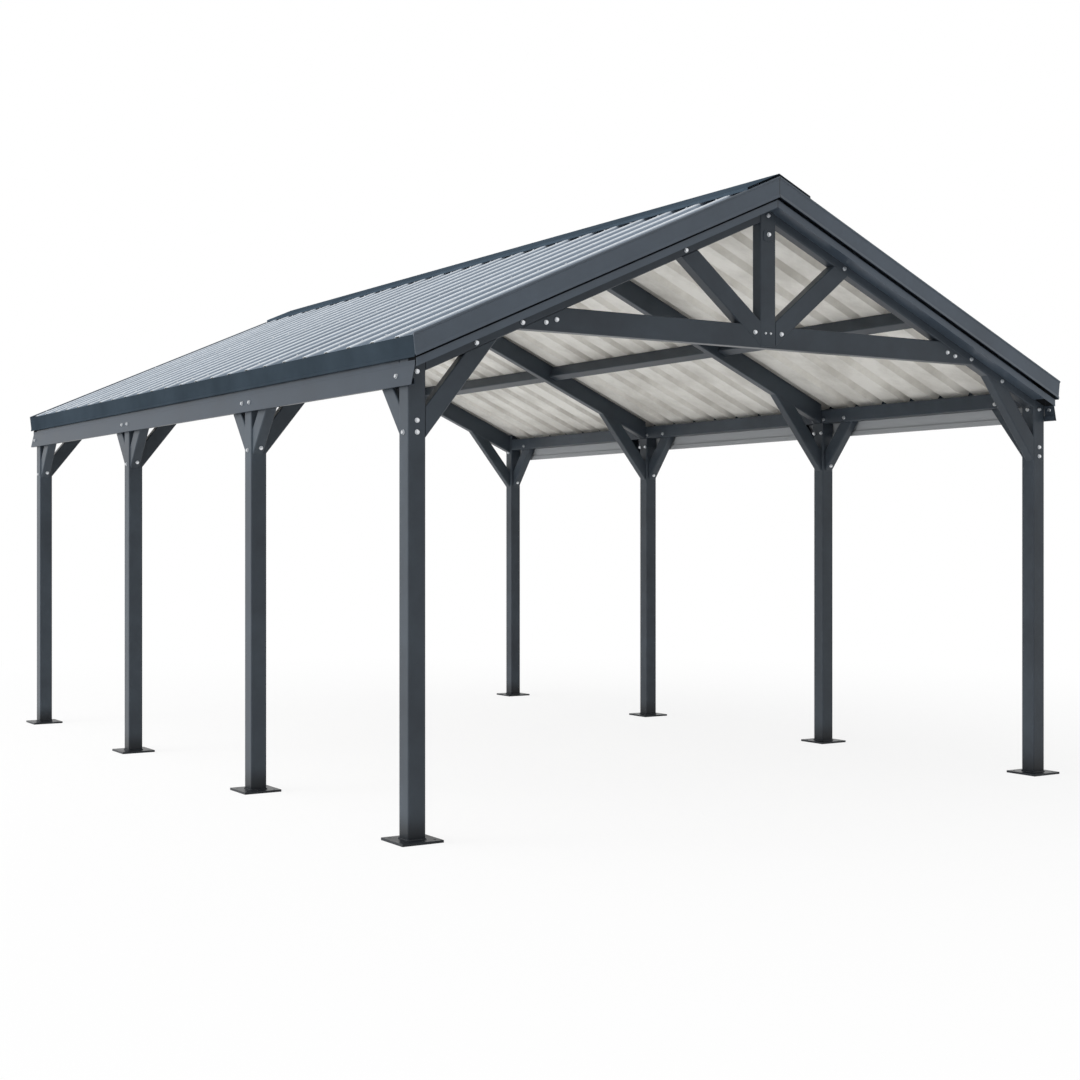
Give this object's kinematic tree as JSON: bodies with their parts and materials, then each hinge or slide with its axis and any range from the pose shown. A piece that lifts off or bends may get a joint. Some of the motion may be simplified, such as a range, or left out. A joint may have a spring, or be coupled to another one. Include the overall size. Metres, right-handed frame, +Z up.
{
  "type": "carport",
  "caption": "Open gable-roofed steel carport: tube posts on base plates, knee-braced headers and rafters, a king-post truss in the front gable and a ribbed sheet roof.",
  "frame": {"origin": "on the ground at the middle of the post grid", "axes": "+X across the drive to the right, +Y from the front gable to the back along the ridge, +Z up"},
  "size_m": [4.31, 6.09, 3.2369],
  "materials": {
    "frame_coating": "satin",
    "trim_coating": "satin",
    "galvanised_sheet": "spangled zinc"
  },
  "bodies": {
    "root": {"front_collar_tie": "frame_coating", "front_king_post": "frame_coating", "front_struts": "frame_coating", "left_back_gable_fascia": "trim_coating", "left_back_verge_strip": "trim_coating", "left_eave_board": "trim_coating", "left_eave_braces": "frame_coating", "left_eave_fascia": "trim_coating", "left_front_gable_fascia": "trim_coating", "left_front_verge_strip": "trim_coating", "left_header": "frame_coating", "left_post_1": "frame_coating", "left_post_2": "frame_coating", "left_post_3": "frame_coating", "left_post_4": "frame_coating", "left_purlin": "frame_coating", "left_rafter_1": "frame_coating", "left_rafter_2": "frame_coating", "left_rafter_3": "frame_coating", "left_rafter_4": "frame_coating", "left_rafter_braces": "frame_coating", "left_roof_sheet": "galvanised_sheet", "post_brackets": "frame_coating", "ridge_beam": "frame_coating", "ridge_cap": "trim_coating", "right_back_gable_fascia": "trim_coating", "right_back_verge_strip": "trim_coating", "right_eave_board": "trim_coating", "right_eave_braces": "frame_coating", "right_eave_fascia": "trim_coating", "right_front_gable_fascia": "trim_coating", "right_front_verge_strip": "trim_coating", "right_header": "frame_coating", "right_post_1": "frame_coating", "right_post_2": "frame_coating", "right_post_3": "frame_coating", "right_post_4": "frame_coating", "right_purlin": "frame_coating", "right_rafter_1": "frame_coating", "right_rafter_2": "frame_coating", "right_rafter_3": "frame_coating", "right_rafter_4": "frame_coating", "right_rafter_braces": "frame_coating", "right_roof_sheet": "galvanised_sheet"}
  },
  "joints": []
}
